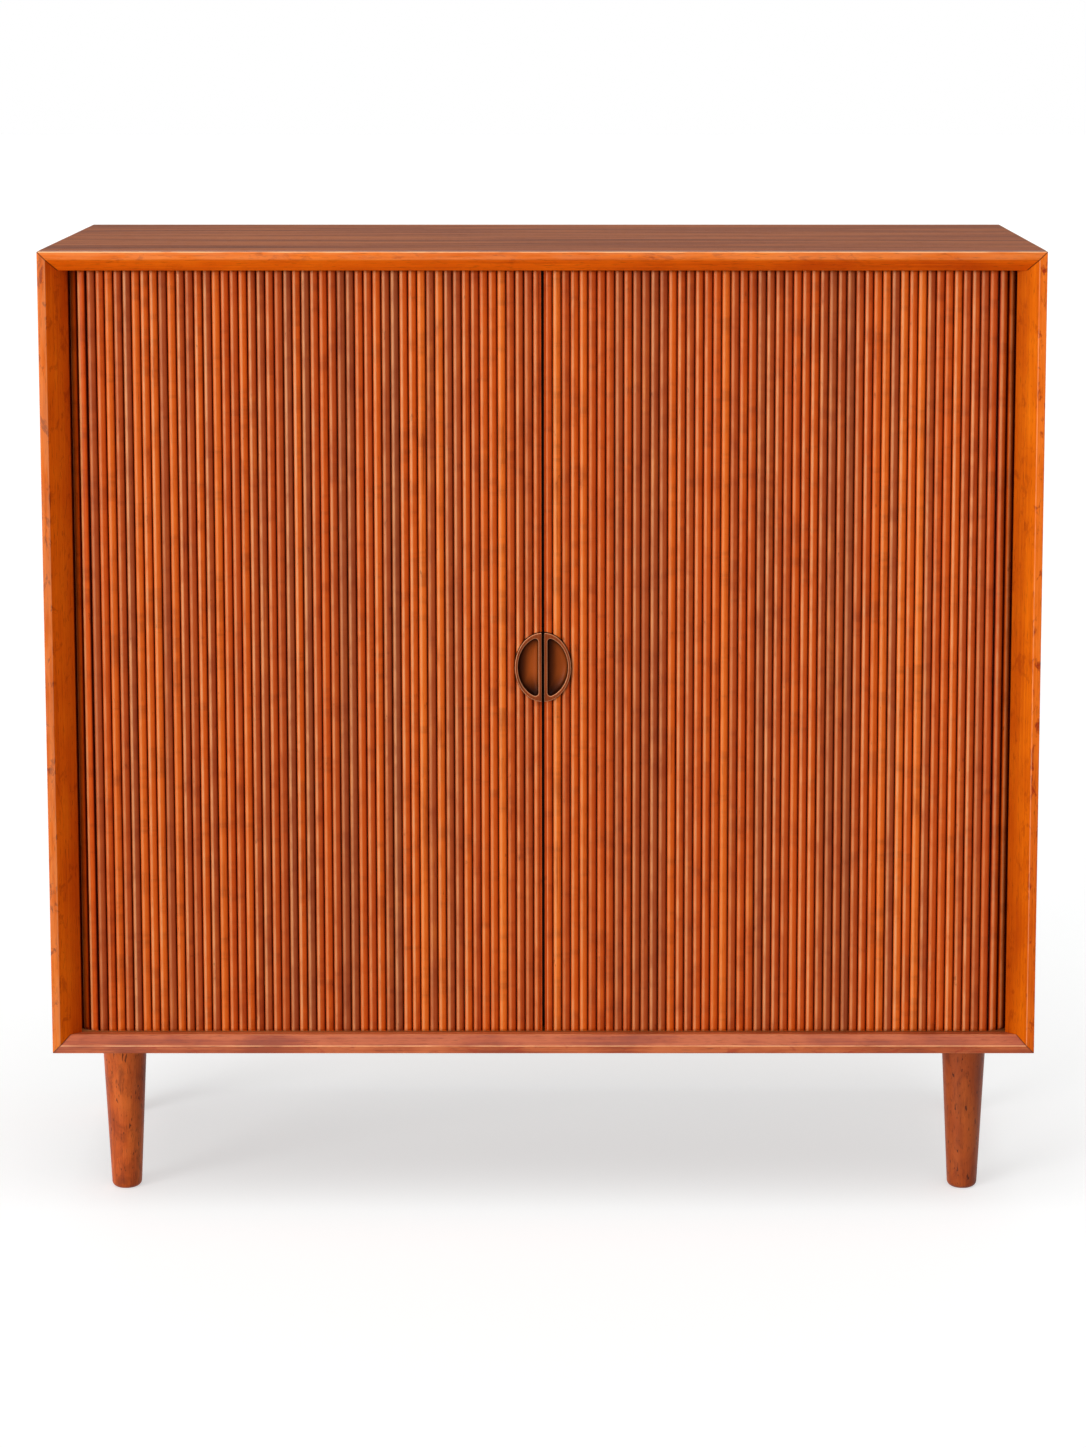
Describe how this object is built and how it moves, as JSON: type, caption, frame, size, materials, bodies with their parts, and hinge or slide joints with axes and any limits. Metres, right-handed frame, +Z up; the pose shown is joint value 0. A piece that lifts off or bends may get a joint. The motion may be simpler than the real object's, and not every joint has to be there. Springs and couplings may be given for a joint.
{
  "type": "tambour door cabinet",
  "caption": "Case on turned legs closed by reeded tambour curtains that slide on curved grooves into the sides, with half oval finger pulls and shelves inside.",
  "frame": {"origin": "on the floor under the middle of the case", "axes": "+X to the right along the front, +Y from front to back, +Z up"},
  "size_m": [1.08, 0.45, 1.063],
  "materials": {
    "case_veneer": "satin oiled veneer",
    "front_lipping": "satin solid wood lipping",
    "slat_wood": "satin solid wood slats on canvas",
    "pull_wood": "satin dark solid wood",
    "leg_wood": "satin turned solid wood",
    "inner_veneer": "matt veneer",
    "plate_steel": "zinc plated"
  },
  "bodies": {
    "case": {"top_panel": "case_veneer", "bottom_panel": "case_veneer", "left_side_panel": "case_veneer", "right_side_panel": "case_veneer", "top_front_rail": "front_lipping", "bottom_front_rail": "front_lipping", "left_front_stile": "front_lipping", "right_front_stile": "front_lipping", "back_panel": "inner_veneer", "centre_divider": "inner_veneer", "left_pocket_wall": "inner_veneer", "right_pocket_wall": "inner_veneer", "left_lower_shelf": "inner_veneer", "left_upper_shelf": "inner_veneer", "right_lower_shelf": "inner_veneer", "right_upper_shelf": "inner_veneer", "front_left_leg": "leg_wood", "front_left_leg_plate": "plate_steel", "front_right_leg": "leg_wood", "front_right_leg_plate": "plate_steel", "rear_left_leg": "leg_wood", "rear_left_leg_plate": "plate_steel", "rear_right_leg": "leg_wood", "rear_right_leg_plate": "plate_steel"},
    "left_lead": {"left_lead_slats": "slat_wood", "left_pull": "pull_wood"},
    "left_turning_1": {"left_turning_slat_1": "slat_wood"},
    "left_turning_2": {"left_turning_slat_2": "slat_wood"},
    "left_turning_3": {"left_turning_slat_3": "slat_wood"},
    "left_turning_4": {"left_turning_slat_4": "slat_wood"},
    "left_panel": {"left_curtain_panel": "slat_wood"},
    "left_tail_1": {"left_tail_slat_1": "slat_wood"},
    "left_tail_2": {"left_tail_slat_2": "slat_wood"},
    "left_tail_3": {"left_tail_slat_3": "slat_wood"},
    "right_lead": {"right_lead_slats": "slat_wood", "right_pull": "pull_wood"},
    "right_turning_1": {"right_turning_slat_1": "slat_wood"},
    "right_turning_2": {"right_turning_slat_2": "slat_wood"},
    "right_turning_3": {"right_turning_slat_3": "slat_wood"},
    "right_turning_4": {"right_turning_slat_4": "slat_wood"},
    "right_panel": {"right_curtain_panel": "slat_wood"},
    "right_tail_1": {"right_tail_slat_1": "slat_wood"},
    "right_tail_2": {"right_tail_slat_2": "slat_wood"},
    "right_tail_3": {"right_tail_slat_3": "slat_wood"}
  },
  "joints": [
    {"name": "left_curtain_slide", "type": "slide", "parent": "case", "child": "left_lead", "axis": [-1, 0, 0], "range_m": [0, 0.3928]},
    {"name": "left_turning_slat_1_turn", "type": "hinge", "parent": "left_lead", "child": "left_turning_1", "pos_m": [-0.0975, -0.19778, 0.62], "axis": [0, 0, -1], "range_deg": [0, 17.29], "deforming": ["left_turning_slat_1"]},
    {"name": "left_turning_slat_2_turn", "type": "hinge", "parent": "left_lead", "child": "left_turning_2", "pos_m": [-0.1023, -0.19702, 0.62], "axis": [0, 0, -1], "range_deg": [0, 36.59], "deforming": ["left_turning_slat_2"]},
    {"name": "left_turning_slat_3_turn", "type": "hinge", "parent": "left_lead", "child": "left_turning_3", "pos_m": [-0.1071, -0.1957, 0.62], "axis": [0, 0, -1], "range_deg": [0, 55.89], "deforming": ["left_turning_slat_3"]},
    {"name": "left_turning_slat_4_turn", "type": "hinge", "parent": "left_lead", "child": "left_turning_4", "pos_m": [-0.1119, -0.19379, 0.62], "axis": [0, 0, -1], "range_deg": [0, 75.19], "deforming": ["left_turning_slat_4"]},
    {"name": "left_curtain_panel_turn", "type": "hinge", "parent": "left_lead", "child": "left_panel", "pos_m": [-0.11558, -0.19188, 0.62], "axis": [0, 0, -1], "range_deg": [0, 90], "deforming": ["left_curtain_panel"]},
    {"name": "left_tail_slat_1_turn", "type": "hinge", "parent": "left_panel", "child": "left_tail_1", "pos_m": [-0.4907, -0.19774, 0.62], "axis": [0, 0, 1], "range_deg": [0, 18.9], "deforming": ["left_tail_slat_1"]},
    {"name": "left_tail_slat_2_turn", "type": "hinge", "parent": "left_panel", "child": "left_tail_2", "pos_m": [-0.4955, -0.19694, 0.62], "axis": [0, 0, 1], "range_deg": [0, 38.2], "deforming": ["left_tail_slat_2"]},
    {"name": "left_tail_slat_3_turn", "type": "hinge", "parent": "left_panel", "child": "left_tail_3", "pos_m": [-0.5003, -0.19557, 0.62], "axis": [0, 0, 1], "range_deg": [0, 57.5], "deforming": ["left_tail_slat_3"]},
    {"name": "right_curtain_slide", "type": "slide", "parent": "case", "child": "right_lead", "axis": [1, 0, 0], "range_m": [0, 0.3928]},
    {"name": "right_turning_slat_1_turn", "type": "hinge", "parent": "right_lead", "child": "right_turning_1", "pos_m": [0.0975, -0.19778, 0.62], "axis": [0, 0, 1], "range_deg": [0, 17.29], "deforming": ["right_turning_slat_1"]},
    {"name": "right_turning_slat_2_turn", "type": "hinge", "parent": "right_lead", "child": "right_turning_2", "pos_m": [0.1023, -0.19702, 0.62], "axis": [0, 0, 1], "range_deg": [0, 36.59], "deforming": ["right_turning_slat_2"]},
    {"name": "right_turning_slat_3_turn", "type": "hinge", "parent": "right_lead", "child": "right_turning_3", "pos_m": [0.1071, -0.1957, 0.62], "axis": [0, 0, 1], "range_deg": [0, 55.89], "deforming": ["right_turning_slat_3"]},
    {"name": "right_turning_slat_4_turn", "type": "hinge", "parent": "right_lead", "child": "right_turning_4", "pos_m": [0.1119, -0.19379, 0.62], "axis": [0, 0, 1], "range_deg": [0, 75.19], "deforming": ["right_turning_slat_4"]},
    {"name": "right_curtain_panel_turn", "type": "hinge", "parent": "right_lead", "child": "right_panel", "pos_m": [0.11558, -0.19188, 0.62], "axis": [0, 0, 1], "range_deg": [0, 90], "deforming": ["right_curtain_panel"]},
    {"name": "right_tail_slat_1_turn", "type": "hinge", "parent": "right_panel", "child": "right_tail_1", "pos_m": [0.4907, -0.19774, 0.62], "axis": [0, 0, -1], "range_deg": [0, 18.9], "deforming": ["right_tail_slat_1"]},
    {"name": "right_tail_slat_2_turn", "type": "hinge", "parent": "right_panel", "child": "right_tail_2", "pos_m": [0.4955, -0.19694, 0.62], "axis": [0, 0, -1], "range_deg": [0, 38.2], "deforming": ["right_tail_slat_2"]},
    {"name": "right_tail_slat_3_turn", "type": "hinge", "parent": "right_panel", "child": "right_tail_3", "pos_m": [0.5003, -0.19557, 0.62], "axis": [0, 0, -1], "range_deg": [0, 57.5], "deforming": ["right_tail_slat_3"]}
  ],
  "couplings": [
    {"joint": "left_turning_slat_1_turn", "follows": "left_curtain_slide", "rad_per_m": 0.76821},
    {"joint": "left_turning_slat_2_turn", "follows": "left_curtain_slide", "rad_per_m": 1.6258},
    {"joint": "left_turning_slat_3_turn", "follows": "left_curtain_slide", "rad_per_m": 2.4833},
    {"joint": "left_turning_slat_4_turn", "follows": "left_curtain_slide", "rad_per_m": 3.3408},
    {"joint": "left_curtain_panel_turn", "follows": "left_curtain_slide", "rad_per_m": 3.999},
    {"joint": "left_tail_slat_1_turn", "follows": "left_curtain_slide", "rad_per_m": 0.83967},
    {"joint": "left_tail_slat_2_turn", "follows": "left_curtain_slide", "rad_per_m": 1.6972},
    {"joint": "left_tail_slat_3_turn", "follows": "left_curtain_slide", "rad_per_m": 2.5548},
    {"joint": "right_turning_slat_1_turn", "follows": "right_curtain_slide", "rad_per_m": 0.76821},
    {"joint": "right_turning_slat_2_turn", "follows": "right_curtain_slide", "rad_per_m": 1.6258},
    {"joint": "right_turning_slat_3_turn", "follows": "right_curtain_slide", "rad_per_m": 2.4833},
    {"joint": "right_turning_slat_4_turn", "follows": "right_curtain_slide", "rad_per_m": 3.3408},
    {"joint": "right_curtain_panel_turn", "follows": "right_curtain_slide", "rad_per_m": 3.999},
    {"joint": "right_tail_slat_1_turn", "follows": "right_curtain_slide", "rad_per_m": 0.83967},
    {"joint": "right_tail_slat_2_turn", "follows": "right_curtain_slide", "rad_per_m": 1.6972},
    {"joint": "right_tail_slat_3_turn", "follows": "right_curtain_slide", "rad_per_m": 2.5548}
  ]
}
